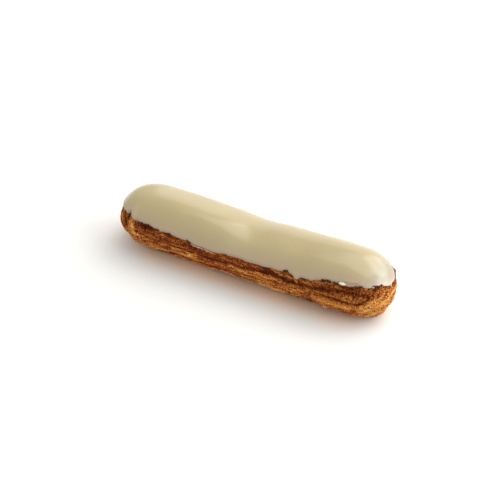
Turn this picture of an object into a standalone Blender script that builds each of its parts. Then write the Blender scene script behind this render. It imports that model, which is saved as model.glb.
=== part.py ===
"""Eclair: a piped choux bun, baked flat underneath, with a dipped cream fondant cap.

Two closed solids, in metres, +Z up, +X along the bun, the front is -Y:
    choux  the bun, with its piped ridges, cut flat where it lay on the tray
    icing  the cap, a crescent in section that thins to a round edge

Both follow one smooth loaf. At a station x its section is two half superellipses that meet at
the belly: the upper one reaches the crown, the lower one runs a little under the tray. Towards
the ends the width, the crown and the depth each shrink by (1 - s**p)**(1/p), where s runs from
0 to 1 over that measure's own reach.
"""
import math

import bmesh
import bpy
import numpy as np
from mathutils import Matrix, Vector, noise

MM = 0.001

# the whole eclair
LENGTH = 145.0 * MM
WIDTH = 33.5 * MM
HEIGHT = 28.0 * MM
BELLY_Z = 14.5 * MM          # height of the widest level
SUNK = 1.5 * MM              # how far the round underside would reach below the tray
TOP_POWER = 2.12             # superellipse powers of the section above and below the belly
BOTTOM_POWER = 2.0

# rounding of the ends: one power, and the reach at -X and at +X
END_POWER = 2.4
PLAN_ENDS = (18.0 * MM, 22.0 * MM)
CROWN_ENDS = (22.0 * MM, 18.0 * MM)
BASE_ENDS = (28.0 * MM, 14.0 * MM)

# soft swells of the crown along the bun: centre, rise, spread
SWELLS = (
    (-40.0 * MM, 1.5 * MM, 20.0 * MM),
    (0.0 * MM, -2.0 * MM, 10.0 * MM),
    (45.0 * MM, 2.0 * MM, 20.0 * MM),
)

# the icing's lower edge: level, swells (centre, rise, spread) and steps (from, to, rise)
RIM_Z = 18.8 * MM
RIM_FRONT_SWELLS = ((-54.0 * MM, 1.9 * MM, 13.0 * MM), (-67.0 * MM, 1.7 * MM, 6.5 * MM))
RIM_FRONT_STEPS = (
    (-5.0 * MM, 22.0 * MM, 0.8 * MM),
    (34.0 * MM, 46.0 * MM, 2.7 * MM),
    (62.0 * MM, 70.0 * MM, 2.2 * MM),
)
RIM_BACK_SWELLS = (
    (-34.0 * MM, 1.3 * MM, 12.0 * MM),
    (-8.0 * MM, -0.4 * MM, 8.0 * MM),
    (19.0 * MM, 0.5 * MM, 7.0 * MM),
)
RIM_BACK_STEPS = ((24.0 * MM, 52.0 * MM, 2.1 * MM), (60.0 * MM, 68.0 * MM, 4.6 * MM))
RIM_TIPS = (20.3 * MM, 19.0 * MM)
RIM_TIP_POWER = 18
SIDE_BLEND = 6.0 * MM        # half the width over which front and back levels merge

ICING_TOP = 1.8 * MM         # how deep the bun lies under the outer face at the crown
ICING_RIM = 1.2 * MM         # and at the icing's edge
SHOULDER = 2.6 * MM          # height over which the bun swells out again below the edge
SHOULDER_TOP = 0.2 * MM
GAP = 0.3 * MM

# piped ridges: valleys at set distances from a line under the icing that bends up at both ends
LINE_Z = 20.0 * MM
LINE_LEFT = -52.0 * MM
LINE_RIGHT = 58.0 * MM
RIDGE_DROP = 6.6 * MM        # from the line to the first valley
RIDGE_PITCH = 6.2 * MM       # from one valley to the next
RIDGE_DEPTH = 0.9 * MM
RIDGE_POWER = 1.5            # above 1 the valleys are narrow and the ridges broad

# a crease that climbs from the first valley on the front, and two upright pleats at the -X end
CREASE_X = (26.0 * MM, 60.0 * MM)
CREASE_Z = (13.6 * MM, 19.4 * MM)
CREASE_END = (62.0 * MM, 67.0 * MM)
CREASE_DEPTH = 0.6 * MM
CREASE_SPREAD = 1.1 * MM
PLEATS = ((-60.2 * MM, 0.5 * MM, 1.7 * MM), (-63.8 * MM, -0.5 * MM, 1.6 * MM))

BARE_FROM = -1.5 * MM        # the relief fades in between these heights below the icing's edge
BARE_TO = -0.4 * MM
CRAG = 0.3 * MM              # uneven crust
CRAG_SIZE = 7.0 * MM
CRAG_SEED = Vector((3.1, 7.7, 1.9))

BUN_RINGS = 62
BUN_SIDES = 70
BUN_CROWDING = 0.25          # moves points from the crown and the base to the sides
ICING_RINGS = 54
ICING_SIDES = 36
ICING_CROWDING = 0.07
RIM_SAMPLES = 400
HALVINGS = 40
AT_POLE = 0.9999
SLOPE_TURN = 0.002           # steps used to measure the loaf's slope
SLOPE_RUN = 0.05 * MM


def clear_scene():
    """Remove every object of the open scene."""
    for item in list(bpy.data.objects):
        bpy.data.objects.remove(item, do_unlink=True)


def smooth(low, high, value):
    """0 below low, 1 above high, an S curve between."""
    t = np.clip((value - low) / (high - low), 0.0, 1.0)
    return t * t * (3.0 - 2.0 * t)


def bumps(x, features):
    """Sum of bell curves, each a centre, a rise and a spread."""
    total = np.zeros_like(x)
    for centre, rise, spread in features:
        total += rise * np.exp(-((x - centre) / spread) ** 2)
    return total


def steps(x, features):
    """Sum of S curves, each a start, an end and a rise."""
    total = np.zeros_like(x)
    for start, end, rise in features:
        total += rise * smooth(start, end, x)
    return total


def end_scale(x, ends):
    """1 along the bun, falling to 0 at the tips."""
    left, right = ends
    reach = np.where(x < 0, left, right)
    s = np.clip((np.abs(x) - (LENGTH / 2 - reach)) / reach, 0.0, 1.0)
    return (1.0 - s ** END_POWER) ** (1.0 / END_POWER)


def crown_rise(x):
    """Height of the crown above the belly at station x."""
    return (HEIGHT - BELLY_Z + bumps(x, SWELLS)) * end_scale(x, CROWN_ENDS)


def loaf(x, angle):
    """Points of the smooth loaf: station x, and angle round the belly line, 90 degrees at the crown."""
    half = WIDTH / 2 * end_scale(x, PLAN_ENDS)
    depth = (BELLY_Z + SUNK) * end_scale(x, BASE_ENDS)
    c, s = np.cos(angle), np.sin(angle)
    upper = s >= 0
    power = np.where(upper, TOP_POWER, BOTTOM_POWER)
    y = half * np.sign(c) * np.abs(c) ** (2.0 / power)
    rise = np.where(upper, crown_rise(x), depth)
    z = BELLY_Z + rise * np.sign(s) * np.abs(s) ** (2.0 / power)
    return np.stack((x, y, z), axis=-1)


def outward(x, angle):
    """Unit normals of the loaf, from small steps along it and round it."""
    inner = np.clip(x, -LENGTH / 2 + 2 * SLOPE_RUN, LENGTH / 2 - 2 * SLOPE_RUN)
    along = loaf(inner + SLOPE_RUN, angle) - loaf(inner - SLOPE_RUN, angle)
    around = loaf(inner, angle + SLOPE_TURN) - loaf(inner, angle - SLOPE_TURN)
    normal = np.cross(around, along)
    length = np.linalg.norm(normal, axis=-1, keepdims=True)
    normal = normal / np.maximum(length, 1e-12)
    tip = np.stack((np.sign(x), np.zeros_like(x), np.zeros_like(x)), axis=-1)
    at_tip = (length < 1e-12) | (np.abs(x)[..., None] > LENGTH / 2 - SLOPE_RUN)
    return np.where(at_tip, tip, normal)


def side_of(y):
    """-1 on the front, +1 on the back, easing through 0 over the middle of the bun."""
    return np.clip(y / SIDE_BLEND, -1.0, 1.0)


def rim_height(x, side):
    """Level of the icing's edge, side running from -1 on the front to +1 on the back."""
    front = RIM_Z + bumps(x, RIM_FRONT_SWELLS) + steps(x, RIM_FRONT_STEPS)
    back = RIM_Z + bumps(x, RIM_BACK_SWELLS) + steps(x, RIM_BACK_STEPS)
    level = front + (back - front) * smooth(-1.0, 1.0, side)
    tip = np.where(x < 0, RIM_TIPS[0], RIM_TIPS[1])
    return level + (tip - level) * np.abs(2.0 * x / LENGTH) ** RIM_TIP_POWER


def ridges(points):
    """Depth of the valleys between the piped ridges, 0 on a ridge."""
    x, z = points[..., 0], points[..., 2]
    over = np.maximum(x - LINE_RIGHT, 0.0) + np.minimum(x - LINE_LEFT, 0.0)
    distance = np.hypot(over, np.minimum(z - LINE_Z, 0.0))
    phase = (distance - RIDGE_DROP) / RIDGE_PITCH
    valley = 1.0 - np.abs(np.sin(math.pi * phase))
    return RIDGE_DEPTH * valley ** RIDGE_POWER


def creases(points):
    """Depth of the climbing crease and of the pleats, both on the front only."""
    x, y, z = points[..., 0], points[..., 1], points[..., 2]
    level = CREASE_Z[0] + (CREASE_Z[1] - CREASE_Z[0]) * smooth(*CREASE_X, x)
    along = smooth(CREASE_X[0], CREASE_X[0] + RIDGE_PITCH, x) * (1.0 - smooth(*CREASE_END, x))
    crease = CREASE_DEPTH * along * np.exp(-((z - level) / CREASE_SPREAD) ** 2)
    return (crease - bumps(x, PLEATS)) * smooth(0.0, 1.0, -side_of(y))


def crags(points):
    """Uneven lift of the baked crust, from seeded noise."""
    lift = [noise.noise(Vector(p) / CRAG_SIZE + CRAG_SEED) for p in points]
    return CRAG * np.array(lift)


def bun_surface(x, angle, relief=True):
    """The bun's crust: the loaf, let in under the icing, with ridges and crags below it."""
    base = loaf(x, angle)
    normal = outward(x, angle)
    above = base[..., 2] - rim_height(x, side_of(base[..., 1]))
    inset = ICING_RIM * smooth(-SHOULDER, -SHOULDER_TOP, above)
    inset += (ICING_TOP - ICING_RIM) * smooth(0.0, 2.0 * SHOULDER, above)
    if relief:
        bare = 1.0 - smooth(BARE_FROM, BARE_TO, above)
        inset += bare * (ridges(base) + creases(base) - crags(base))
    return base - normal * inset[..., None], normal


def icing_tip(side):
    """Station where the crown comes down to the icing's edge, found by halving."""
    inside, outside = 0.5 * LENGTH / 2, LENGTH / 2
    for _ in range(HALVINGS):
        middle = 0.5 * (inside + outside)
        x = np.array([side * middle])
        if BELLY_Z + crown_rise(x)[0] > rim_height(x, 0.0 * x)[0]:
            inside = middle
        else:
            outside = middle
    return side * inside


def rim_angle(x, side):
    """Angle round the section at which the loaf crosses the icing's edge."""
    share = (rim_height(x, side + 0.0 * x) - BELLY_Z) / np.maximum(crown_rise(x), 1e-9)
    return np.arcsin(np.clip(share, 0.0, 1.0) ** (TOP_POWER / 2))


def rim_loop(left, right):
    """The icing's edge, a closed line of points that floats one gap off the bun."""
    sweep = np.sin(np.linspace(-math.pi / 2, math.pi / 2, RIM_SAMPLES))
    x = (left + right) / 2 + (right - left) / 2 * sweep
    front, front_normal = bun_surface(x, math.pi - rim_angle(x, -1.0), relief=False)
    back, back_normal = bun_surface(x, rim_angle(x, 1.0), relief=False)
    return np.vstack((front + GAP * front_normal, (back + GAP * back_normal)[::-1]))


def distance_to_loop(points, loop):
    """Shortest distance from each point to the straight pieces of a closed line."""
    step = np.roll(loop, -1, axis=0) - loop
    span = np.maximum(np.sum(step ** 2, axis=1), 1e-18)
    offset = points[:, None, :] - loop[None, :, :]
    share = np.clip(np.sum(offset * step, axis=-1) / span, 0.0, 1.0)
    nearest = offset - share[..., None] * step
    return np.min(np.linalg.norm(nearest, axis=-1), axis=1)


def icing_surface(unit):
    """The cap from a unit sphere with its poles along X: upper half outside, lower half inside."""
    left, right = icing_tip(-1.0), icing_tip(1.0)
    x = (left + right) / 2 + (right - left) / 2 * unit[:, 0]
    turn = np.arctan2(unit[:, 2], unit[:, 1])
    outer = turn >= 0
    share = np.abs(turn) / math.pi
    share = share - ICING_CROWDING * np.sin(2 * math.pi * share)
    back, front = rim_angle(x, 1.0), math.pi - rim_angle(x, -1.0)
    angle = np.where(np.abs(unit[:, 0]) > AT_POLE, math.pi / 2, back + (front - back) * share)
    bun, normal = bun_surface(x, angle, relief=False)
    inner = bun + GAP * normal
    away = distance_to_loop(inner, rim_loop(left, right))
    round_edge = np.clip(away / (ICING_RIM - GAP), 0.0, 1.0)
    thickness = np.sqrt(1.0 - (1.0 - round_edge) ** 2)[:, None]
    return np.where(outer[:, None], inner + (loaf(x, angle) - inner) * thickness, inner)


def choux_surface(unit):
    """The bun from a unit sphere with its poles along X, cut flat at the tray."""
    x = LENGTH / 2 * unit[:, 0]
    turn = np.arctan2(unit[:, 2], unit[:, 1])
    angle = turn - BUN_CROWDING * np.sin(2 * turn)
    points, _ = bun_surface(x, angle)
    points[:, 2] = np.maximum(points[:, 2], 0.0)
    return points


def material(name, colour, roughness):
    """A plain Principled material."""
    made = bpy.data.materials.new(name)
    made.use_nodes = True
    shader = made.node_tree.nodes["Principled BSDF"]
    shader.inputs["Base Color"].default_value = (*colour, 1.0)
    shader.inputs["Roughness"].default_value = roughness
    shader.inputs["Metallic"].default_value = 0.0
    return made


def moulded(name, rings, sides, surface, finish, collection):
    """A sphere laid along X and moved, point by point, onto the given surface."""
    shape = bmesh.new()
    bmesh.ops.create_uvsphere(shape, u_segments=sides, v_segments=rings, radius=1.0)
    bmesh.ops.rotate(shape, verts=shape.verts, matrix=Matrix.Rotation(math.pi / 2, 3, "Y"))
    unit = np.array([point.co[:] for point in shape.verts])
    for point, place in zip(shape.verts, surface(unit)):
        point.co = place
    bmesh.ops.triangulate(shape, faces=shape.faces)
    mesh = bpy.data.meshes.new(name)
    shape.to_mesh(mesh)
    shape.free()
    mesh.shade_smooth()
    mesh.materials.append(finish)
    made = bpy.data.objects.new(name, mesh)
    collection.objects.link(made)
    return made


def build():
    """Make the eclair's two solids."""
    clear_scene()
    collection = bpy.data.collections.new("eclair")
    bpy.context.scene.collection.children.link(collection)
    crust = material("baked_choux", (0.376, 0.141, 0.038), 0.7)
    fondant = material("cream_fondant", (0.753, 0.645, 0.402), 0.25)
    moulded("choux", BUN_RINGS, BUN_SIDES, choux_surface, crust, collection)
    moulded("icing", ICING_RINGS, ICING_SIDES, icing_surface, fondant, collection)


build()
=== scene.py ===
"""Looks of the eclair: a finely modelled choux bun and fondant cap, the crumbs on them, and the stage.

Lengths in this script are in millimetres, and become metres when a mesh is made. The bun and the
cap share one smooth loaf, the same as the solids', so every surface here is that loaf moved along
its own outward direction by some depth or thickness.
"""
import math

import bpy
import numpy as np
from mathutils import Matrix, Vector


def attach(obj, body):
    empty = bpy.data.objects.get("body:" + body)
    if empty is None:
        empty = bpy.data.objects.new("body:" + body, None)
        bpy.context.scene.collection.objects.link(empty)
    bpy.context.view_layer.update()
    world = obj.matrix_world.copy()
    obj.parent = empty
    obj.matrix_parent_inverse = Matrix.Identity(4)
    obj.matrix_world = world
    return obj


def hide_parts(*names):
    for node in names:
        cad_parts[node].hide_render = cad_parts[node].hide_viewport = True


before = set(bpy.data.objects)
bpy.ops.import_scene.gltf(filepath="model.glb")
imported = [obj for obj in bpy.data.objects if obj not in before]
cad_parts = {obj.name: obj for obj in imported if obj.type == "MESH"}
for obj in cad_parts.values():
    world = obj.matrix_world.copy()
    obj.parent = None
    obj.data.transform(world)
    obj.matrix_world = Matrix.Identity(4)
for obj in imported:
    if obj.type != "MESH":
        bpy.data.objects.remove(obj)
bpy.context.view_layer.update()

MM = 0.001

# the loaf, the same as the solids'
LENGTH = 145.0
WIDTH = 33.5
HEIGHT = 28.0
BELLY_Z = 14.5
SUNK = 1.5
TOP_POWER = 2.12
BOTTOM_POWER = 2.0
END_POWER = 2.4
PLAN_ENDS = (18.0, 22.0)             # reach of the rounding at -X and at +X
CROWN_ENDS = (22.0, 18.0)
BASE_ENDS = (28.0, 14.0)
SWELLS = ((-40.0, 1.5, 20.0), (0.0, -2.0, 10.0), (45.0, 2.0, 20.0))

# the icing's edge: level, swells (centre, rise, spread), steps (from, to, rise) and small nicks
RIM_Z = 18.6
RIM_FRONT_SWELLS = ((-54.0, 1.9, 13.0), (-67.0, 1.7, 6.5))
RIM_FRONT_STEPS = ((-5.0, 22.0, 0.8), (34.0, 46.0, 2.7), (62.0, 70.0, 2.2))
RIM_BACK_SWELLS = ((-34.0, 1.3, 12.0), (-8.0, -0.4, 8.0), (19.0, 0.5, 7.0))
RIM_BACK_STEPS = ((24.0, 52.0, 2.1), (60.0, 68.0, 3.4))
RIM_TIPS = (20.3, 18.8)
RIM_TIP_POWER = 18
SIDE_BLEND = 6.0
RIM_NICKS = (
    (-62.3, 1.7, 1.3),
    (-58.7, -0.3, 1.2),
    (-53.0, -0.45, 2.6),
    (-47.3, -0.7, 1.3),
    (-43.8, -0.6, 1.0),
    (-38.6, 0.4, 0.7),
    (-28.9, 0.5, 0.7),
    (-24.5, -0.6, 2.6),
    (-19.5, -0.75, 3.2),
    (-14.0, -0.6, 3.2),
    (-8.0, -0.35, 14.0),
    (10.0, -0.6, 9.0),
    (23.8, 0.9, 1.4),
    (29.2, -1.7, 1.5),
    (36.8, -0.5, 0.9),
    (51.5, 0.6, 2.0),
    (60.0, 1.0, 4.5),
    (66.2, 0.2, 1.6),
    (70.0, 0.7, 1.6),
)
RAGGED = 0.16
ICING_TOP = 1.8
ICING_RIM = 1.2
SHOULDER = 2.6
SHOULDER_TOP = 0.2
SEAT = 0.12                  # how far the cap's underside is pressed into the crust
LEAN = (0.14, -0.09)         # slope of the crown towards the back, on the left and on the right
LEAN_TURN = (-30.0, 15.0)
LEAN_REACH = 8.0
FOLD = (-59.6, 0.7, 1.4)     # x, rise, spread of the fold that hangs over the pale ridge
DIP = (-62.8, -0.5, 1.4)
SLIT = (55.9, 3.6, 1.55, 0.3, 0.3)   # x, half length, distance from the edge, half width, depth
EDGE_TINT = (0.75, 1.15)     # strength and reach of the darker edge
SKIRT = 4.0                  # reach of the greyer tone above the edge
SKIRT_TINT = 0.85
FOLD_FADE = (2.0, 9.0)       # the fold eases out between these distances from the edge
LIP_SWELL = (0.16, 1.2, 0.8)         # rise, distance from the edge, spread
CAP_ROUND = 1.1              # radius of the rounded edge
CAP_WAVES = 0.16
CAP_CROWDING = 0.09          # moves the outer face's points towards its edges
# the +X end is paler and greyer, brightest along its edge: partly a painted highlight, partly whiter icing
PALE_FROM = (59.0, 67.0)     # the edge turns pale over this stretch

# piped strands
FLOW_Z = 27.0
LINE_Z = 20.0
LINE_LEFT = -52.0
LINE_RIGHT = 58.0
RIDGE_DROP = 6.6
RIDGE_PITCH = 6.2
RIDGE_LIFT = (15.0, 1.9, 13.0)       # x, rise and spread of the place where the first valley runs higher
RIDGE_DEPTH = 0.9
CREASE_X = (26.0, 60.0)
CREASE_Z = (13.6, 19.4)
CREASE_END = (62.0, 67.0)
CREASE_DEPTH = 0.6
CREASE_SPREAD = 1.1

# bake: the golden part lies below this level
GOLDEN_BUMPS = (
    (-72.0, -0.06, 12.0),
    (-42.0, 0.08, 7.0),
    (-26.0, -0.12, 6.0),
    (-10.0, 0.12, 7.0),
    (14.0, -0.06, 10.0),
)
# the darker spots low on the bun, at z 4 to 6, are partly painted shade on its lower side; the others follow
# the bake
BAKE_AND_SHADE_PATCHES = (             # x, z, reach along, reach up, darker or (below 0) paler
    (-59.0, 9.0, 3.0, 3.0, -0.18),
    (-51.0, 11.0, 6.0, 2.0, 0.18),
    (-51.0, 6.0, 8.0, 4.0, 0.2),
    (-33.0, 5.0, 5.0, 3.0, -0.12),
    (-12.0, 4.5, 7.0, 3.0, -0.1),
    (-12.0, 18.0, 5.0, 1.3, 0.2),
    (58.0, 18.0, 5.0, 1.5, -0.12),
    (-43.0, 4.0, 6.0, 3.5, 0.2),
    (-1.0, 10.3, 10.0, 1.8, 0.25),
    (-5.0, 4.5, 12.0, 3.0, -0.15),
    (-3.0, 13.4, 6.0, 1.4, -0.2),
    (9.0, 13.2, 9.0, 1.5, -0.2),
    (20.0, 13.2, 7.0, 1.5, -0.2),
    (40.0, 14.2, 6.0, 1.4, -0.15),
    (54.0, 15.4, 9.0, 1.4, -0.28),
    (66.0, 14.5, 4.0, 1.8, -0.3),
    (54.0, 12.2, 8.0, 1.4, 0.16),
    (23.0, 16.5, 10.0, 2.0, 0.14),
    (-20.0, 13.0, 8.0, 1.4, 0.1),
    (-2.0, 14.5, 8.0, 1.2, 0.1),
    (52.0, 6.0, 14.0, 3.0, 0.18),
    (66.0, 5.5, 3.5, 3.0, 0.25),
    (66.0, 19.0, 4.5, 2.2, 0.1),
    (-66.5, 17.0, 3.5, 4.0, 0.28),
)
GOLDEN = 0.52
UNDERSIDE = 0.3              # how much paler the crust is right at the bottom, on the left
DARK_BAKE = (0.74, 0.6)      # in the dark band, on the left and on the right
BAND_Z = 13.2
BAND_STEPS = ((-32.0, -22.0, 0.9), (30.0, 58.0, 4.4), (66.0, 70.0, -1.2))
BAND_BUMPS = ((-57.0, 1.0, 3.0), (-27.0, -1.0, 3.0), (-3.0, -0.9, 4.0), (15.0, 1.0, 9.0), (65.0, -1.7, 1.7))
LOW_GROOVE_Z = 12.3
LOW_GROOVE_STEPS = ((36.0, 54.0, 1.2), (60.0, 69.0, 5.0))
PIT = (58.6, 9.0, 1.6, 1.3)          # x, z, spread along, spread up
RECESS = (-63.2, 19.8, 1.5, 1.9)
BULGE = (43.5, 5.0, 2.6, 2.6)
PALE_RIDGE = (-58.4, 14.3, -0.33)    # x, z, lean
PLEATS = ((-60.2, 0.5, 1.7), (-63.8, -0.5, 1.6))

BUN_RINGS = 450
BUN_SIDES = 220
CAP_RINGS = 380
CAP_OUTER = 150
CAP_INNER = 50


# each light: bearing (degrees from -Y towards +X), height in degrees, watts, size
SOFT_BOXES = {
    "window": (105.0, 25.0, 5.5, 850.0),
    "high_back": (150.0, 40.0, 4.0, 800.0),
    "overhead": (160.0, 70.0, 2.5, 800.0),
    "low_back": (190.0, 20.0, 2.0, 900.0),
}
BOX_DISTANCE = 1000.0
STAGE_HALF = 2500.0
FLOOR = (0.87, 0.875, 0.875)
FLOOR_GLOW = (0.98, 0.82, 0.66)
GLOW_HALF = 46.0             # half length of the line under the eclair
GLOW_POWER = 1.6
GLOW = (13.0, 24.0)          # distance from it at which the warm tint is full, and gone
SKY = (0.72, 0.71, 0.67)


# crumbs along the icing's edge: from, to, count, half size; loose flakes: x, z, half size
EDGE_CRUMBS = (
    (-55.0, -49.5, 6, 0.42),
    (-48.5, -44.0, 5, 0.42),
    (-41.0, -38.5, 3, 0.6),
    (-29.5, -27.5, 3, 0.45),
    (-8.8, -7.6, 2, 0.35),
    (22.6, 24.2, 4, 0.5),
    (30.0, 37.0, 5, 0.28),
    (42.0, 46.5, 8, 0.5),
    (47.5, 51.0, 6, 0.45),
    (56.0, 62.0, 5, 0.35),
    (65.5, 69.0, 9, 0.45),
)
EDGE_FLAKES = (
    (20.0, 30.0, 16, 0.55),
    (30.0, 38.0, 16, 0.5),
    (38.0, 50.0, 14, 0.45),
)
LOOSE_FLAKES = (
    (4.0, 4.2, 0.7),
    (1.0, 9.0, 0.5),
    (43.5, 5.6, 0.9),
    (71.6, 14.5, 0.5),
    (70.8, 9.0, 0.5),
    (66.5, 5.0, 0.5),
)
LUMP_RINGS = 7
LUMP_SIDES = 12
STRAND_SIDES = 10
# the first is a real bead; the two small ones are painted glints, white lumps on the edge
BEADS_AND_GLINTS = (                    # x, height above the edge, half sizes
    (52.1, 0.45, 1.75, 0.7, 0.75),
    (65.9, 0.15, 0.5, 0.35, 0.35),
    (69.3, 0.3, 0.4, 0.35, 0.4),
)
LIP_X = (-28.3, -14.0)
LIP_RADIUS = 0.14
LIP_RINGS = 90
DRIP_RINGS = 60
DRIP_X = (71.1, 72.38)
DRIP_RADIUS = 0.28


# ---------------------------------------------------------------- small tools on whole arrays

def smooth(low, high, value):
    """0 below low, 1 above high, t*t*(3 - 2t) between."""
    t = np.clip((value - low) / (high - low), 0.0, 1.0)
    return t * t * (3.0 - 2.0 * t)


def bumps(x, features):
    """Sum of bell curves rise * exp(-((x - centre) / spread)**2)."""
    total = np.zeros_like(x)
    for centre, rise, spread in features:
        total = total + rise * np.exp(-((x - centre) / spread) ** 2)
    return total


def steps(x, features):
    """Sum of S curves rise * smooth(start, end, x)."""
    total = np.zeros_like(x)
    for start, end, rise in features:
        total = total + rise * smooth(start, end, x)
    return total


def hashed(cell, seed):
    """A repeatable number from 0 to 1 for each whole-number lattice cell."""
    h = cell[..., 0] * 374761393 + cell[..., 1] * 668265263 + cell[..., 2] * 1103515245 + seed * 974634777
    h = (h ^ (h >> 13)) & 0xFFFFFFFF
    h = (h * 1274126177) & 0xFFFFFFFF
    h = (h ^ (h >> 16)) & 0xFFFFFFFF
    h = (h * 668265263) & 0xFFFFFFFF
    return ((h >> 8) & 0xFFFF) / 65535.0


def noise(points, seed):
    """Value noise from -1 to 1: lattice numbers blended by an S curve along each axis."""
    base = np.floor(points).astype(np.int64)
    part = points - base
    part = part * part * (3.0 - 2.0 * part)
    total = np.zeros(points.shape[:-1])
    for corner in np.ndindex(2, 2, 2):
        weight = np.prod(np.where(np.array(corner) == 1, part, 1.0 - part), axis=-1)
        total += weight * hashed(base + np.array(corner), seed)
    return 2.0 * total - 1.0


def fractal(points, seed, octaves=3):
    """Noise summed over octaves, each twice as fine and half as strong."""
    total = np.zeros(points.shape[:-1])
    strength = 1.0
    for level in range(octaves):
        total += strength * noise(points * 2 ** level, seed + level)
        strength *= 0.5
    return total


def cells(points, seed):
    """Distances to the nearest and second nearest jittered lattice point, and the nearest's number."""
    base = np.floor(points).astype(np.int64)
    near = np.full(points.shape[:-1], 9.0)
    second = np.full(points.shape[:-1], 9.0)
    owner = np.zeros(points.shape[:-1])
    for corner in np.ndindex(3, 3, 3):
        cell = base + np.array(corner) - 1
        jitter = np.stack([hashed(cell, seed + axis) for axis in range(3)], axis=-1)
        away = np.linalg.norm(cell + jitter - points, axis=-1)
        closer = away < near
        second = np.where(closer, near, np.minimum(second, away))
        owner = np.where(closer, hashed(cell, seed + 7), owner)
        near = np.where(closer, away, near)
    return near, second, owner


# ---------------------------------------------------------------- the loaf

def end_scale(x, ends):
    """(1 - s**p)**(1/p) with END_POWER as p, where s runs from 0 to 1 over each end's reach."""
    left, right = ends
    reach = np.where(x < 0, left, right)
    s = np.clip((np.abs(x) - (LENGTH / 2 - reach)) / reach, 0.0, 1.0)
    return (1.0 - s ** END_POWER) ** (1.0 / END_POWER)


def crown_rise(x):
    """Height of the crown above the belly at station x."""
    return (HEIGHT - BELLY_Z + bumps(x, SWELLS)) * end_scale(x, CROWN_ENDS)


def loaf(x, angle):
    """Two half superellipses that meet at the belly: y = half |cos|**(2/p), z = belly + rise |sin|**(2/p)."""
    half = WIDTH / 2 * end_scale(x, PLAN_ENDS)
    depth = (BELLY_Z + SUNK) * end_scale(x, BASE_ENDS)
    c, s = np.cos(angle), np.sin(angle)
    power = np.where(s >= 0, TOP_POWER, BOTTOM_POWER)
    y = half * np.sign(c) * np.abs(c) ** (2.0 / power)
    rise = np.where(s >= 0, crown_rise(x), depth)
    z = BELLY_Z + rise * np.sign(s) * np.abs(s) ** (2.0 / power)
    return np.stack((x + 0.0 * angle, y, z), axis=-1)


def outward(x, angle):
    """Unit normals of the loaf: its slope round the section crossed with its slope along the bun."""
    step, dx = 0.002, 0.05
    inner = np.clip(x, -LENGTH / 2 + 2 * dx, LENGTH / 2 - 2 * dx)
    along = loaf(inner + dx, angle) - loaf(inner - dx, angle)
    around = loaf(inner, angle + step) - loaf(inner, angle - step)
    normal = np.cross(around, along)
    return normal / np.maximum(np.linalg.norm(normal, axis=-1, keepdims=True), 1e-12)


def side_of(y):
    """-1 on the front, +1 on the back, easing through 0 over the middle."""
    return np.clip(y / SIDE_BLEND, -1.0, 1.0)


def rim_height(x, side):
    """Level of the icing's edge: swells and steps, small nicks on the front, and a ragged line."""
    front = RIM_Z + bumps(x, RIM_FRONT_SWELLS) + steps(x, RIM_FRONT_STEPS) + bumps(x, RIM_NICKS)
    back = RIM_Z + bumps(x, RIM_BACK_SWELLS) + steps(x, RIM_BACK_STEPS)
    level = front + (back - front) * smooth(-1.0, 1.0, side)
    wander = np.stack((x / 3.0, 5.0 * np.sign(side) + 0.0 * x, 0.0 * x), axis=-1)
    level = level + RAGGED * fractal(wander, 31, 4)
    tip = np.where(x < 0, RIM_TIPS[0], RIM_TIPS[1])
    return level + (tip - level) * np.abs(2.0 * x / LENGTH) ** RIM_TIP_POWER


def piping(points, line_z):
    """Across and along the strands: distance from a line at line_z that ends short of both tips."""
    x, z = points[..., 0], points[..., 2]
    over = np.maximum(x - LINE_RIGHT, 0.0) + np.minimum(x - LINE_LEFT, 0.0)
    drop = np.maximum(line_z - z, 0.0)
    across = np.hypot(over, drop)
    along = np.clip(x, LINE_LEFT, LINE_RIGHT) + across * np.arctan2(over, drop + 0.01)
    return across, along


def valleys(points):
    """0 on a strand's crest to 1 along the valley between two strands: 1 - |sin(pi * phase)|."""
    across, _ = piping(points, LINE_Z)
    lift = bumps(points[..., 0], (RIDGE_LIFT,)) * smooth(8.0, 12.0, points[..., 2])
    phase = (across + lift - RIDGE_DROP) / RIDGE_PITCH
    return 1.0 - np.abs(np.sin(math.pi * phase))


def creases(points):
    """Depth of the climbing crease and of the pleats, both on the front only."""
    x, y, z = points[..., 0], points[..., 1], points[..., 2]
    level = CREASE_Z[0] + (CREASE_Z[1] - CREASE_Z[0]) * smooth(*CREASE_X, x)
    along = smooth(CREASE_X[0], CREASE_X[0] + RIDGE_PITCH, x) * (1.0 - smooth(*CREASE_END, x))
    crease = CREASE_DEPTH * along * np.exp(-((z - level) / CREASE_SPREAD) ** 2)
    return (crease - bumps(x, PLEATS)) * smooth(0.0, 1.0, -side_of(y))


def band_level(x):
    """Level that parts the dark band from the golden strands."""
    return BAND_Z + bumps(x, BAND_BUMPS) + steps(x, BAND_STEPS)


def spot(points, place):
    """A soft round spot on the front: exp(-u*u - v*v) of the distances along and up."""
    x, y, z = points[..., 0], points[..., 1], points[..., 2]
    near = ((x - place[0]) / place[2]) ** 2 + ((z - place[1]) / place[3]) ** 2
    return np.exp(-near) * smooth(0.0, 1.0, -side_of(y))


def flow(points):
    """Coordinates that run with the strands, so that texture bends round the ends as they do."""
    across, along = piping(points, FLOW_Z)
    return np.stack((along, across, 0.35 * points[..., 1]), axis=-1)


def fibres(points):
    """Flow coordinates whose run is drawn out far on the left, and less past FIBRE_END: the run
    is a * low + (high - low) * w * log(1 + exp((a - end) / w)).
    """
    run = flow(points)
    low, high = FIBRE_STRETCH
    more = FIBRE_EASE * np.logaddexp(0.0, (run[..., 0] - FIBRE_END) / FIBRE_EASE)
    run[..., 0] = low * run[..., 0] + (high - low) * more
    return run


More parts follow.
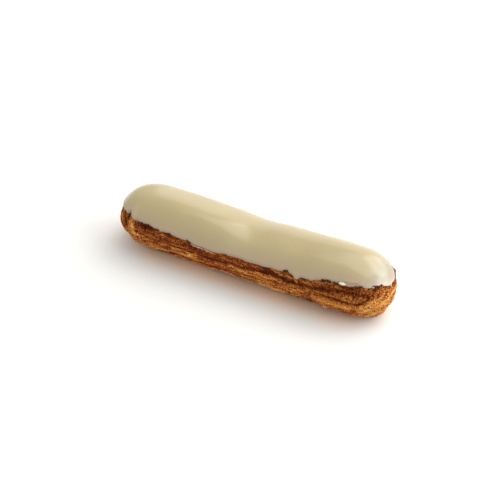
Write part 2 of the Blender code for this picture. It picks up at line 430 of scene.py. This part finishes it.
def grooves(points):
    """How much each point lies in the dark stripe over the golden strands, and in the groove below."""
    x, y, z = points[..., 0], points[..., 1], points[..., 2]
    front = smooth(0.0, 1.0, -side_of(y))
    stripe = np.exp(-((z - band_level(x) - 1.3) / (1.1 + 0.4 * smooth(8.0, 20.0, x))) ** 2) * front
    stripe = stripe * (0.3 + 0.7 * smooth(2.0, 14.0, x)) * (1.0 - smooth(64.0, 67.0, x))
    low = np.exp(-((z - LOW_GROOVE_Z - steps(x, LOW_GROOVE_STEPS)) / 0.8) ** 2) * front
    return stripe, low * smooth(34.0, 44.0, x) * (1.0 - smooth(64.5, 67.0, x))


def crust_relief(points):
    """Depth of the crust below the loaf, the painted shade in its hollows, and how dark its own tone.

    Strand valleys and creases, threads that run along the strands, flakes that are cells drawn out
    along them with sunken borders, round pores that crowd the middle strand, crumbs at the +X end.
    """
    x, z = points[..., 0], points[..., 2]
    valley, crease = valleys(points), creases(points)
    stripe, low = grooves(points)
    end = smooth(60.0, 68.0, x)
    sway = np.stack((noise(points / 3.1, 5), noise(points / 2.3, 6), 0.0 * x), axis=-1)
    wander = flow(points) + 0.6 * sway
    lower = LOW_GROOVE_Z + steps(x, LOW_GROOVE_STEPS)
    plain = smooth(36.0, 42.0, x) * (1.0 - smooth(lower - 1.0, lower, z)) * (1.0 - end)
    porous = smooth(30.0, 38.0, x) * smooth(lower, lower + 1.0, z)
    porous = porous * (1.0 - smooth(-0.5, 0.5, z - band_level(x))) * (1.0 - end)
    flaky = smooth(10.0, 32.0, x)
    thread = fractal(wander / (9.0, 0.95, 4.0), 11, 4)
    near, second, owner = cells(wander / (2.6, 1.15, 2.0), 41)
    border = (1.0 - smooth(0.0, 0.3, second - near)) * (1.0 - 0.8 * plain) * (0.4 + 0.6 * flaky)
    pore_near, _, pore_owner = cells(wander / (1.5, 1.2, 1.4), 61)
    many = np.maximum(porous, 0.22 + 0.25 * noise(points / 8.0, 77)) * (1.0 - 0.7 * plain)
    size = 0.26 + 0.3 * np.clip(many, 0.0, 1.0)
    pore = (1.0 - smooth(0.45 * size, size, pore_near)) * (pore_owner < 0.12 + 0.5 * many)
    crumb_near, _, crumb_owner = cells(points / 1.15, 21)
    crumb = (1.0 - smooth(0.1, 0.6, crumb_near)) * (0.3 + 0.7 * crumb_owner) * (0.2 + 0.8 * end)
    pit, recess, bulge = spot(points, PIT), spot(points, RECESS), spot(points, BULGE)
    ridge_x = PALE_RIDGE[0] + PALE_RIDGE[2] * (z - PALE_RIDGE[1])
    facing = smooth(0.0, 1.0, -side_of(points[..., 1]))
    ridge = np.exp(-((x - ridge_x) / 0.8) ** 2) * smooth(11.0, 15.0, z) * facing
    depth = RIDGE_DEPTH * valley ** 1.5 + crease + 0.5 * low + 0.15 * pit + 0.7 * recess - 0.25 * bulge
    depth = depth - 0.3 * ridge - 0.25 * thread + 0.28 * border + 0.5 * pore - 0.4 * crumb
    patch = (owner - 0.5) * (1.0 - 0.7 * plain) * (0.4 + 0.6 * flaky)
    depth = depth - 0.34 * patch + 0.45 * noise(points / 2.7, 83) * (1.0 - smooth(4.0, 8.0, z))
    # painted shade: darker in the strand valleys, flake borders, pores, the low groove, the pit and the
    # recess, and in the dark stripe, which is partly the crust's darker bake
    hollow_shade = 0.4 * valley ** 2.5 * (1.0 - 0.5 * flaky) + 0.4 * border + 0.9 * pore + 0.75 * stripe + 0.6 * low
    hollow_shade = hollow_shade + 1.8 * pit + 0.95 * recess
    tone = (0.2 * flaky - 0.6) * thread * (1.0 - 0.4 * plain) + 0.5 * patch
    # 0.15 * low makes the low groove darker: painted shade in it
    tone = tone - (0.4 + 0.5 * end) * (crumb - 0.15) - 0.5 * ridge + 0.15 * low - 0.12 * plain
    return depth, np.clip(hollow_shade, 0.0, 1.0) * (1.0 - 0.4 * end), tone


def bun_surface(x, angle, relief):
    """The loaf let in under the icing, with the crust's relief where it is bare."""
    base, normal = loaf(x, angle), outward(x, angle)
    above = base[..., 2] - rim_height(x, side_of(base[..., 1]))
    inset = ICING_RIM * smooth(-SHOULDER, -SHOULDER_TOP, above)
    inset = inset + (ICING_TOP - ICING_RIM) * smooth(0.0, 2.0 * SHOULDER, above)
    hollow_shade, tone = np.zeros_like(inset), np.zeros_like(inset)
    if relief:
        bare = 1.0 - smooth(-0.9, 0.1, above)
        depth, hollow_shade, tone = crust_relief(base)
        inset = inset + bare * depth
    return base - normal * inset[..., None], normal, above, hollow_shade, tone


# ---------------------------------------------------------------- meshes from arrays

def mesh_piece(name, points, quads, triangles, attributes, material):
    """One smooth mesh object at the origin, in metres, from arrays of points, quads and triangles."""
    mesh = bpy.data.meshes.new(name)
    mesh.vertices.add(len(points))
    mesh.vertices.foreach_set("co", (points * MM).astype(np.float32).ravel())
    corners = np.concatenate((quads.ravel(), triangles.ravel())).astype(np.int32)
    starts = np.concatenate((np.arange(len(quads)) * 4, len(quads) * 4 + np.arange(len(triangles)) * 3))
    mesh.loops.add(len(corners))
    mesh.loops.foreach_set("vertex_index", corners)
    mesh.polygons.add(len(quads) + len(triangles))
    mesh.polygons.foreach_set("loop_start", starts.astype(np.int32))
    mesh.update(calc_edges=True)
    for key, values in attributes.items():
        kind, slot = ("FLOAT", "value") if values.ndim == 1 else ("FLOAT_VECTOR", "vector")
        mesh.attributes.new(key, kind, "POINT").data.foreach_set(slot, values.astype(np.float32).ravel())
    mesh.shade_smooth()
    mesh.materials.append(material)
    piece = bpy.data.objects.new(name, mesh)
    bpy.context.scene.collection.objects.link(piece)
    return piece


def ring_faces(rings, sides):
    """Quads between closed rings, and the fans that close both ends on the last two points."""
    ring = np.arange(rings - 1)[:, None] * sides
    side = np.arange(sides)[None, :]
    after = (side + 1) % sides
    quads = np.stack((ring + side, ring + after, ring + sides + after, ring + sides + side), axis=-1)
    last = (rings - 1) * sides
    j, k = np.arange(sides), (np.arange(sides) + 1) % sides
    left = np.stack((np.full(sides, rings * sides), k, j), axis=-1)
    right = np.stack((np.full(sides, rings * sides + 1), last + j, last + k), axis=-1)
    return quads.reshape(-1, 4), np.vstack((left, right))


def even_stations(count, left, right):
    """Stations evenly spaced along the outline seen from above, both tips left out."""
    fine = (left + right) / 2 + (right - left) / 2 * np.sin(np.linspace(-math.pi / 2, math.pi / 2, 4001))
    half = WIDTH / 2 * end_scale(fine, PLAN_ENDS)
    run = np.concatenate(([0.0], np.cumsum(np.hypot(np.diff(fine), np.diff(half)))))
    return np.interp(np.linspace(0.0, run[-1], count + 2)[1:-1], run, fine)


def side_angles(count):
    """Angles round the section, crowded on both flanks, sparse over the crown and under the base."""
    fine = np.linspace(-math.pi / 2, 3 * math.pi / 2, 4001)
    flank = np.minimum(np.abs(fine - math.radians(-22.0)), np.abs(fine - math.radians(202.0)))
    density = 0.09 + 1.0 - smooth(math.radians(42.0), math.radians(56.0), flank)
    total = np.concatenate(([0.0], np.cumsum(0.5 * (density[1:] + density[:-1]))))
    return np.interp(np.arange(count) / count * total[-1], total, fine)


# ---------------------------------------------------------------- materials

STREAK = 1.5
FIBRE_STRETCH = (0.2, 0.65)          # on the left, on the right
FIBRE_END = 24.0
FIBRE_EASE = 5.0
GRAIN = 2.4
CRUST_COLOURS = (
    (0.0, (0.84, 0.45, 0.12)),
    (0.25, (0.67, 0.248, 0.047)),
    (0.5, (0.47, 0.131, 0.022)),
    (0.75, (0.28, 0.055, 0.010)),
    (1.0, (0.10, 0.015, 0.003)),
)


def node_material(name):
    """A new material, its node tree, and its Principled shader."""
    made = bpy.data.materials.new(name)
    made.use_nodes = True
    tree = made.node_tree
    return made, tree, tree.nodes["Principled BSDF"]


def link(tree, source, target):
    """Join two sockets."""
    tree.links.new(source, target)


def grain_node(tree, scale, detail, roughness=0.5):
    """Noise on Object coordinates, scale in waves per metre."""
    place = tree.nodes.new("ShaderNodeTexCoord")
    made = tree.nodes.new("ShaderNodeTexNoise")
    made.inputs["Scale"].default_value = scale
    made.inputs["Detail"].default_value = detail
    made.inputs["Roughness"].default_value = roughness
    link(tree, place.outputs["Object"], made.inputs["Vector"])
    return made.outputs["Fac"]


def streak_node(tree, scale, detail, roughness=0.5):
    """Noise on the stored flow coordinates, drawn out along the strands, scale in waves per mm."""
    place = tree.nodes.new("ShaderNodeAttribute")
    place.attribute_name = "flow"
    made = tree.nodes.new("ShaderNodeTexNoise")
    made.inputs["Scale"].default_value = scale
    made.inputs["Detail"].default_value = detail
    made.inputs["Roughness"].default_value = roughness
    link(tree, place.outputs["Vector"], made.inputs["Vector"])
    return made.outputs["Fac"]


def sum_of(tree, first, second, factor):
    """first + second * factor."""
    node = tree.nodes.new("ShaderNodeMath")
    node.operation = "MULTIPLY_ADD"
    link(tree, second, node.inputs[0])
    node.inputs[1].default_value = factor
    link(tree, first, node.inputs[2])
    return node.outputs[0]


def maths(tree, operation, first, second=0.0):
    """One Math node; a plain number may stand for either input."""
    node = tree.nodes.new("ShaderNodeMath")
    node.operation = operation
    for socket, value in ((node.inputs[0], first), (node.inputs[1], second)):
        if isinstance(value, bpy.types.NodeSocket):
            link(tree, value, socket)
        else:
            socket.default_value = value
    return node.outputs[0]


def attribute(tree, name):
    """A number stored on the mesh's points."""
    node = tree.nodes.new("ShaderNodeAttribute")
    node.attribute_name = name
    return node.outputs["Fac"]


def ramp(tree, value, stops):
    """A colour ramp through (position, colour) stops."""
    node = tree.nodes.new("ShaderNodeValToRGB")
    node.color_ramp.elements[0].position = stops[0][0]
    node.color_ramp.elements[0].color = (*stops[0][1], 1.0)
    node.color_ramp.elements[1].position = stops[-1][0]
    node.color_ramp.elements[1].color = (*stops[-1][1], 1.0)
    for position, colour in stops[1:-1]:
        node.color_ramp.elements.new(position).color = (*colour, 1.0)
    link(tree, value, node.inputs["Fac"])
    return node.outputs["Color"]


def mix(tree, factor, first, second, blend="MIX"):
    """Blend two colours; a plain colour may stand for either."""
    node = tree.nodes.new("ShaderNodeMix")
    node.data_type = "RGBA"
    node.blend_type = blend
    for socket, value in ((node.inputs[0], factor), (node.inputs[6], first), (node.inputs[7], second)):
        if isinstance(value, bpy.types.NodeSocket):
            link(tree, value, socket)
        else:
            socket.default_value = value
    return node.outputs[2]


def bump(tree, height, strength, distance, shader):
    """Fine relief from a height value."""
    node = tree.nodes.new("ShaderNodeBump")
    node.inputs["Strength"].default_value = strength
    node.inputs["Distance"].default_value = distance
    link(tree, height, node.inputs["Height"])
    link(tree, node.outputs["Normal"], shader.inputs["Normal"])


def crust_material():
    """Baked choux: golden to dark reddish brown with the bake, darkened by painted shade in its hollows,
    finely speckled.
    """
    made, tree, shader = node_material("baked_choux")
    streak = streak_node(tree, 2.1, 3.0, 0.65)
    grain = grain_node(tree, 1800.0, 2.0, 0.6)
    level = sum_of(tree, attribute(tree, "bake"), maths(tree, "SUBTRACT", streak, 0.5), STREAK)
    speckle = maths(tree, "MULTIPLY", maths(tree, "SUBTRACT", grain, 0.5), attribute(tree, "speckle"))
    colour = ramp(tree, sum_of(tree, level, speckle, GRAIN), CRUST_COLOURS)
    # painted shade: the crust is multiplied towards dark brown in its hollows
    shade = mix(tree, attribute(tree, "hollow_shade"), (1.0, 1.0, 1.0, 1.0), (0.24, 0.12, 0.07, 1.0))
    link(tree, mix(tree, 1.0, colour, shade, "MULTIPLY"), shader.inputs["Base Color"])
    shader.inputs["Roughness"].default_value = 0.55
    shader.inputs["Specular IOR Level"].default_value = 0.06
    bump(tree, sum_of(tree, grain, streak, 0.8), 0.8, 0.0004, shader)
    return made


def fondant_material():
    """Poured fondant: ivory, faintly translucent, browner where it thins out over the crust, and paler at the
    +X end, partly a painted highlight.
    """
    made, tree, shader = node_material("cream_fondant")
    tone = ramp(tree, grain_node(tree, 45.0, 2.0), (
        (0.3, (0.441, 0.352, 0.183)),
        (0.7, (0.465, 0.373, 0.199)),
    ))
    tone = mix(tree, attribute(tree, "skirt"), tone, (0.45, 0.345, 0.245, 1.0))
    colour = mix(tree, attribute(tree, "thin"), tone, (0.22, 0.13, 0.085, 1.0))
    # paler at the +X end and brightest at its edge: partly a painted highlight
    end = ramp(tree, attribute(tree, "pale"), ((0.6, (0.43, 0.40, 0.32)), (1.0, (0.72, 0.69, 0.62))))
    colour = mix(tree, attribute(tree, "pale"), colour, end)
    link(tree, colour, shader.inputs["Base Color"])
    shader.inputs["Roughness"].default_value = 0.22
    shader.inputs["Specular IOR Level"].default_value = 0.9
    shader.inputs["Subsurface Weight"].default_value = 0.25
    shader.inputs["Subsurface Radius"].default_value = (1.0, 0.8, 0.5)
    shader.inputs["Subsurface Scale"].default_value = 0.0025
    bump(tree, grain_node(tree, 380.0, 2.0), 0.06, 0.0004, shader)
    return made


def plain_material(name, colour, roughness, gloss=0.5):
    """One colour all over."""
    made, _, shader = node_material(name)
    shader.inputs["Base Color"].default_value = (*colour, 1.0)
    shader.inputs["Roughness"].default_value = roughness
    shader.inputs["Specular IOR Level"].default_value = gloss
    return made


# ---------------------------------------------------------------- the pieces

def bake_level(points, above, tone):
    """How dark the crust is baked, 0 golden to 1 dark: a dark band over golden strands."""
    x, z = points[..., 0], points[..., 2]
    band = band_level(x) + 0.5 * noise(points / 2.2, 91)
    dark = smooth(-0.6, 0.6, z - band) * smooth(-60.0, -57.5, x)
    edge = np.exp(-((above + 0.7) / 0.9) ** 2)
    flaky = smooth(18.0, 24.0, x) * (1.0 - smooth(46.0, 52.0, x))
    singed = smooth(-58.0, -55.0, x) * (1.0 - smooth(-30.0, -12.0, x)) + smooth(54.0, 60.0, x)
    strand = smooth(36.0, 42.0, x) * (1.0 - smooth(-1.0, 1.0, z - 13.5))
    golden = GOLDEN + bumps(x, GOLDEN_BUMPS) - 0.16 * strand - 0.2 * smooth(60.0, 69.0, x)
    right = smooth(30.0, 40.0, x)
    golden = golden - UNDERSIDE * (1.0 - smooth(0.3, 1.5, z)) * (1.0 - right)
    # painted shade: darker towards the bottom on the right, where the crust faces down
    golden = golden + (0.38 - 0.3 * smooth(64.0, 68.0, x)) * right * (1.0 - smooth(3.0, 7.5, z))
    banded = DARK_BAKE[0] + (DARK_BAKE[1] - DARK_BAKE[0]) * right
    level = golden + (banded - golden) * dark + 0.12 * fractal(points / 5.0, 97, 3)
    tip = smooth(65.0, 69.0, x) * smooth(16.0, 19.0, z) * smooth(-6.0, 0.0, points[..., 1])
    level = level + 0.35 * tip
    # darker and paler soft spots; the low darker ones are partly painted shade
    for place in BAKE_AND_SHADE_PATCHES:
        level = level + place[4] * spot(points, place)
    # just under the icing's edge: darker along the singed stretches, partly painted shade under the icing's
    # edge; paler along the flaky stretch
    return level + tone * (1.0 - 0.35 * dark) + edge * (0.1 * singed - 0.12 * flaky)


def make_bun(material):
    """The bun: rings of the crust surface along even stations, closed on a point at both tips."""
    x = even_stations(BUN_RINGS, -LENGTH / 2, LENGTH / 2)[:, None]
    angle = side_angles(BUN_SIDES)[None, :]
    x, angle = np.broadcast_arrays(x, angle)
    points, _, above, hollow_shade, tone = bun_surface(x, angle, relief=True)
    points[..., 2] = np.maximum(points[..., 2], 0.0)
    bake = bake_level(points, above, tone)
    tips = np.array(((-LENGTH / 2, 0.0, BELLY_Z), (LENGTH / 2, 0.0, BELLY_Z)))
    tips[:, 0] = points[0, :, 0].mean(), points[-1, :, 0].mean()
    everything = np.vstack((points.reshape(-1, 3), tips))
    along = everything[:, 0]
    stored = {
        "bake": np.concatenate((bake.ravel(), bake[[0, -1], 0])),
        # the painted shade in the hollows, kept for the material
        "hollow_shade": np.concatenate((hollow_shade.ravel(), hollow_shade[[0, -1], 0])),
        "speckle": 1.0 + 0.6 * smooth(56.0, 66.0, along) + 0.25 * smooth(48.0, 60.0, -along),
        "flow": fibres(everything),
    }
    quads, triangles = ring_faces(BUN_RINGS, BUN_SIDES)
    return mesh_piece("choux_bun", everything, quads, triangles, stored, material)


def icing_tip(side):
    """Station where the crown comes down to the icing's edge, found by halving."""
    inside, outside = 0.5 * LENGTH / 2, LENGTH / 2
    for _ in range(40):
        middle = 0.5 * (inside + outside)
        x = np.array([side * middle])
        if BELLY_Z + crown_rise(x)[0] > rim_height(x, 0.0 * x)[0]:
            inside = middle
        else:
            outside = middle
    return side * inside


def rim_angle(x, side):
    """Angle round the section at which the loaf crosses the icing's edge."""
    share = (rim_height(x, side + 0.0 * x) - BELLY_Z) / np.maximum(crown_rise(x), 1e-9)
    return np.arcsin(np.clip(share, 0.0, 1.0) ** (TOP_POWER / 2))


def crown_lean(x, y):
    """The crown's lean, -k*y*exp(-(y/reach)**2): its ridge runs nearer the front on the left."""
    slope = LEAN[0] + (LEAN[1] - LEAN[0]) * smooth(*LEAN_TURN, x)
    slope = slope * (1.0 - smooth(56.0, 68.0, np.abs(x)))
    return -slope * y * np.exp(-(y / LEAN_REACH) ** 2)


def cap_relief(face, from_edge, away):
    """How far the cap's outer face stands off the loaf, and how deep in its slit each point is."""
    x, y = face[..., 0], face[..., 1]
    front_side = smooth(0.0, 1.0, -side_of(y))
    lip_rise, lip_from_edge, lip_spread = LIP_SWELL
    lip = lip_rise * np.exp(-((away - lip_from_edge) / lip_spread) ** 2)
    fold = bumps(x, (FOLD, DIP)) * front_side * (1.0 - smooth(*FOLD_FADE, from_edge))
    slit_x, slit_half, slit_up, slit_width, slit_depth = SLIT
    along, up = (x - slit_x) / slit_half, (from_edge - slit_up) / slit_width
    slit = np.exp(-along ** 6 - up ** 2) * front_side
    lift = lip + CAP_WAVES * fractal(face / (14.0, 11.0, 11.0), 17, 2)
    return lift + crown_lean(x, y) + fold - slit_depth * slit, slit


def cap_tints(x, away, slit):
    """Shares of the thin edge, the pale +X end (partly a painted highlight) and the greyer skirt on the cap's
    outer face.
    """
    edge = np.exp(-(away / EDGE_TINT[1]) ** 2)
    pale_share = smooth(*PALE_FROM, x)
    return {
        # 0.5 * slit darkens the slit: painted shade in the crack, and crust showing through the thinner icing
        "thin": EDGE_TINT[0] * edge * (1.0 - pale_share) + 0.5 * slit,
        "pale": pale_share * (0.6 + 0.4 * edge),
        "skirt": SKIRT_TINT * np.exp(-(away / SKIRT) ** 2),
    }


def make_icing(material):
    """The cap: round each section the outer face runs over the crown and the inner face back.

    Its thickness grows from nothing at the edge as a quarter circle, sqrt(1 - (1 - d/r)**2),
    where d is the distance round the section from the edge, and swells to a soft lip there.
    """
    left, right = icing_tip(-1.0), icing_tip(1.0)
    x = even_stations(CAP_RINGS, left, right)[:, None]
    back, front = rim_angle(x, 1.0), math.pi - rim_angle(x, -1.0)
    over = np.linspace(0.0, 1.0, CAP_OUTER)
    over = over - CAP_CROWDING * np.sin(2 * math.pi * over)
    under = np.linspace(1.0, 0.0, CAP_INNER)[1:-1]
    share = np.concatenate((over, under))[None, :]
    angle = back + (front - back) * share
    x = x + 0.0 * angle
    crust, normal, _, _, _ = bun_surface(x, angle, relief=False)
    inner = crust - SEAT * normal
    section = np.linalg.norm(np.diff(inner[:, :CAP_OUTER], axis=1), axis=-1)
    run = np.concatenate((np.zeros((len(x), 1)), np.cumsum(section, axis=1)), axis=1)
    from_edge = np.minimum(run, run[:, -1:] - run)
    to_tip = np.minimum(x[:, :1] - left, right - x[:, :1])
    away = np.minimum(from_edge, 1.6 * to_tip)
    rounding = np.sqrt(1.0 - (1.0 - np.clip(away / CAP_ROUND, 0.0, 1.0)) ** 2)
    face = loaf(x[:, :CAP_OUTER], angle[:, :CAP_OUTER])
    lift, slit = cap_relief(face, from_edge, away)
    surface = face + lift[..., None] * normal[:, :CAP_OUTER]
    points = inner.copy()
    points[:, :CAP_OUTER] += (surface - inner[:, :CAP_OUTER]) * rounding[..., None]
    stored = {}
    for name, tint in cap_tints(face[..., 0], away, slit).items():
        part = np.zeros(x.shape)
        part[:, :CAP_OUTER] = tint
        stored[name] = np.append(part.ravel(), part[[0, -1], 0])
    tips = np.stack((points[0].mean(axis=0), points[-1].mean(axis=0)))
    everything = np.vstack((points.reshape(-1, 3), tips))
    quads, triangles = ring_faces(CAP_RINGS, share.shape[1])
    return mesh_piece("fondant_cap", everything, quads, triangles, stored, material)


def front_angle(x, z):
    """Angle round the section of the loaf's front at height z, above the belly or below it."""
    rise = np.maximum(crown_rise(x), 1e-9)
    drop = np.maximum((BELLY_Z + SUNK) * end_scale(x, BASE_ENDS), 1e-9)
    upper = np.arcsin(np.clip((z - BELLY_Z) / rise, 0.0, 1.0) ** (TOP_POWER / 2))
    lower = np.arcsin(np.clip((BELLY_Z - z) / drop, 0.0, 1.0) ** (BOTTOM_POWER / 2))
    return math.pi - np.where(z >= BELLY_Z, upper, -lower)


def on_crust(x, z, out):
    """Points a distance out from the front of the crust, and the normals there."""
    points, normal, _, _, _ = bun_surface(x, front_angle(x, z), relief=True)
    return points + normal * out, normal


def on_edge(x, up, out):
    """Points on the front, a little up from the icing's edge and out from the smooth loaf."""
    angle = front_angle(x, rim_height(x, -1.0 + 0.0 * x) + up)
    normal = outward(x, angle)
    return loaf(x, angle) + normal * out, normal


def lumps(name, centres, sizes, seed, uneven, material):
    """Small lumps in one mesh: unit spheres scaled per axis and swollen by noise."""
    polar = np.linspace(0.0, math.pi, LUMP_RINGS + 2)[1:-1, None]
    turn = np.arange(LUMP_SIDES)[None, :] / LUMP_SIDES * 2 * math.pi
    wide = np.sin(polar)
    unit = np.stack((-np.cos(polar) + 0.0 * turn, wide * np.cos(turn), wide * np.sin(turn)), axis=-1)
    unit = np.vstack((unit.reshape(-1, 3), ((-1.0, 0.0, 0.0), (1.0, 0.0, 0.0))))
    number = np.arange(len(centres))[:, None]
    swell = 1.0 + uneven * noise(unit[None] * 1.6 + 9.7 * number[..., None], seed)
    points = centres[:, None, :] + unit[None] * sizes[:, None, :] * swell[..., None]
    quads, triangles = ring_faces(LUMP_RINGS, LUMP_SIDES)
    shift = (number * len(unit))[..., None]
    quads, triangles = (quads[None] + shift).reshape(-1, 4), (triangles[None] + shift).reshape(-1, 3)
    return mesh_piece(name, points.reshape(-1, 3), quads, triangles, {}, material)


def strand(name, centres, normal, radii, material):
    """A round thread along a path: circles in the plane of its normal and its side, ends closed."""
    along = np.gradient(centres, axis=0)
    along = along / np.linalg.norm(along, axis=-1, keepdims=True)
    across = np.cross(along, normal)
    turn = np.arange(STRAND_SIDES)[None, :, None] / STRAND_SIDES * 2 * math.pi
    ring = np.cos(turn) * normal[:, None] + np.sin(turn) * across[:, None]
    points = centres[:, None] + radii[:, None, None] * ring
    everything = np.vstack((points.reshape(-1, 3), centres[[0, -1]]))
    quads, triangles = ring_faces(len(centres), STRAND_SIDES)
    return mesh_piece(name, everything, quads, triangles, {}, material)


def scattered(runs, seed):
    """Stations and sizes of lumps strewn over runs, each from, to, count and size."""
    random = np.random.default_rng(seed)
    counts = [run[2] for run in runs]
    start, end, size = (np.repeat([run[k] for run in runs], counts) for k in (0, 1, 3))
    x = start + (end - start) * random.uniform(0.0, 1.0, len(start))
    stretch = random.uniform(0.7, 1.3, (len(start), 3))
    return x, size[:, None] * stretch, random


def make_crumbs(dark, golden, pale):
    """Singed crumbs along the icing's edge, golden flakes below it, and loose bits lower down."""
    x, sizes, random = scattered(EDGE_CRUMBS, 3)
    centres, _ = on_edge(x, random.uniform(-0.1, 0.45, len(x)), 0.1)
    made = [lumps("edge_crumbs", centres, sizes, 5, 0.7, dark)]
    x, sizes, random = scattered(EDGE_FLAKES, 4)
    below = random.uniform(-1.7, -0.5, len(x))
    level = rim_height(x, -1.0 + 0.0 * x) + below
    centres, _ = on_crust(x, level, 0.05)
    made.append(lumps("edge_flakes", centres, sizes * (1.3, 0.7, 0.8), 6, 0.7, golden))
    x, z, size = (np.array(column) for column in zip(*LOOSE_FLAKES))
    centres, _ = on_crust(x, z, 0.1)
    made.append(lumps("loose_flakes", centres, size[:, None] * np.array((1.5, 0.8, 0.55)), 7, 0.5, pale))
    return made


def make_drips(material):
    """The bead, two small white lumps that are painted glints, and the bright lip on the icing's front edge,
    and the thin drip at the +X end; the lip's brightness is a painted highlight.
    """
    place = np.array(BEADS_AND_GLINTS)
    centres, _ = on_edge(place[:, 0], place[:, 1], 0.25)
    made = [lumps("bead_and_glints", centres, place[:, 2:], 8, 0.15, material)]
    x = np.linspace(*LIP_X, LIP_RINGS)
    centres, normal = on_edge(x, 0.15, 0.12)
    taper = np.sin(np.linspace(0.0, math.pi, LIP_RINGS)) ** 0.5
    width = LIP_RADIUS * taper * (0.75 + 0.5 * noise(centres / 1.5, 45))
    # the lip's whiter glaze is a painted highlight along the icing's edge
    made.append(strand("lip", centres, normal, width, material))
    x = np.linspace(*DRIP_X, DRIP_RINGS)
    points, normal, _, _, _ = bun_surface(x, math.pi / 2 + 0.0 * x, relief=True)
    centres = points + 0.12 * normal
    taper = np.minimum(1.0, 4.0 * (1.0 - np.linspace(0.0, 0.999, DRIP_RINGS))) ** 0.5
    made.append(strand("drip", centres, normal, DRIP_RADIUS * taper, material))
    return made


# ---------------------------------------------------------------- stage, lights and camera

AZIMUTH = math.radians(27.2)
ELEVATION = math.radians(40.0)
DISTANCE = 829.0
AIM_Z = 14.0
AIM_RIGHT = -2.87
AIM_UP = -0.89
LENS = 123.6


def view_axes():
    """Unit vectors from the eclair to the camera, to the picture's right, and up it."""
    back = Vector((
        math.sin(AZIMUTH) * math.cos(ELEVATION),
        -math.cos(AZIMUTH) * math.cos(ELEVATION),
        math.sin(ELEVATION),
    ))
    right = Vector((math.cos(AZIMUTH), math.sin(AZIMUTH), 0.0))
    return back, right, back.cross(right)


def make_camera():
    """A long lens, looking down at the eclair from its front."""
    back, right, up = view_axes()
    aim = Vector((0.0, 0.0, AIM_Z)) + right * AIM_RIGHT + up * AIM_UP
    data = bpy.data.cameras.new("camera")
    data.lens = LENS
    data.clip_start = 0.05
    camera = bpy.data.objects.new("camera", data)
    camera.location = (aim + back * DISTANCE) * MM
    camera.rotation_euler = back.to_track_quat("Z", "Y").to_euler()
    bpy.context.scene.collection.objects.link(camera)
    bpy.context.scene.camera = camera


def soft_box(name, azimuth, elevation, power, size):
    """A square white area light on the given bearing, aimed at the eclair."""
    a, e = math.radians(azimuth), math.radians(elevation)
    towards = Vector((math.sin(a) * math.cos(e), -math.cos(a) * math.cos(e), math.sin(e)))
    data = bpy.data.lights.new(name, "AREA")
    data.size = size * MM
    data.energy = power
    lamp = bpy.data.objects.new(name, data)
    lamp.location = towards * BOX_DISTANCE * MM
    lamp.rotation_euler = towards.to_track_quat("Z", "Y").to_euler()
    bpy.context.scene.collection.objects.link(lamp)


def floor_material():
    """White, warmed close to the eclair by light off the crust: by distance from a line under it."""
    made, tree, shader = node_material("white_floor")
    place = tree.nodes.new("ShaderNodeTexCoord")
    split = tree.nodes.new("ShaderNodeSeparateXYZ")
    link(tree, place.outputs["Object"], split.inputs[0])
    run = maths(tree, "ABSOLUTE", split.outputs[0])
    over = maths(tree, "MAXIMUM", maths(tree, "SUBTRACT", run, GLOW_HALF * MM), 0.0)
    across = maths(tree, "MULTIPLY", split.outputs[1], split.outputs[1])
    square = maths(tree, "ADD", maths(tree, "MULTIPLY", over, over), across)
    away = maths(tree, "SQRT", square)
    past = maths(tree, "SUBTRACT", away, GLOW[0] * MM)
    near = maths(tree, "SUBTRACT", 1.0, maths(tree, "DIVIDE", past, (GLOW[1] - GLOW[0]) * MM))
    near = maths(tree, "MINIMUM", maths(tree, "MAXIMUM", near, 0.0), 1.0)
    near = maths(tree, "POWER", near, GLOW_POWER)
    colour = mix(tree, near, (*FLOOR, 1.0), (*FLOOR_GLOW, 1.0))
    link(tree, colour, shader.inputs["Base Color"])
    shader.inputs["Roughness"].default_value = 0.9
    return made


def make_stage():
    """A white floor, a warm even fill from all round, and soft boxes on the right, behind and above."""
    half = STAGE_HALF
    corners = np.array(((-half, -half, 0.0), (half, -half, 0.0), (half, half, 0.0), (-half, half, 0.0)))
    floor = mesh_piece("floor", corners, np.array([[0, 1, 2, 3]]), np.zeros((0, 3), int), {},
                       floor_material())
    world = bpy.data.worlds.new("studio")
    world.use_nodes = True
    background = world.node_tree.nodes["Background"]
    background.inputs["Color"].default_value = (*SKY, 1.0)
    background.inputs["Strength"].default_value = 1.0
    bpy.context.scene.world = world
    for name, (azimuth, elevation, power, size) in SOFT_BOXES.items():
        soft_box(name, azimuth, elevation, power, size)
    bpy.context.scene.view_settings.view_transform = "Standard"


def dress(piece, node):
    """Show the piece in place of the solid it is built on."""
    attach(piece, "root")
    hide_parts(node)


make_stage()
make_camera()
dress(make_bun(crust_material()), "choux")
dress(make_icing(fondant_material()), "icing")
singed = plain_material("singed", (0.075, 0.02, 0.009), 0.7, 0.1)
golden = plain_material("golden", (0.5, 0.19, 0.045), 0.7, 0.1)
pale_flake = plain_material("pale_flake", (0.66, 0.36, 0.15), 0.7, 0.1)
for crumb in make_crumbs(singed, golden, pale_flake):
    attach(crumb, "root")
# the glaze is whiter than the icing: a painted highlight on the lip and the two small glints
for drop in make_drips(plain_material("glaze_and_painted_glint", (0.74, 0.68, 0.56), 0.3)):
    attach(drop, "root")
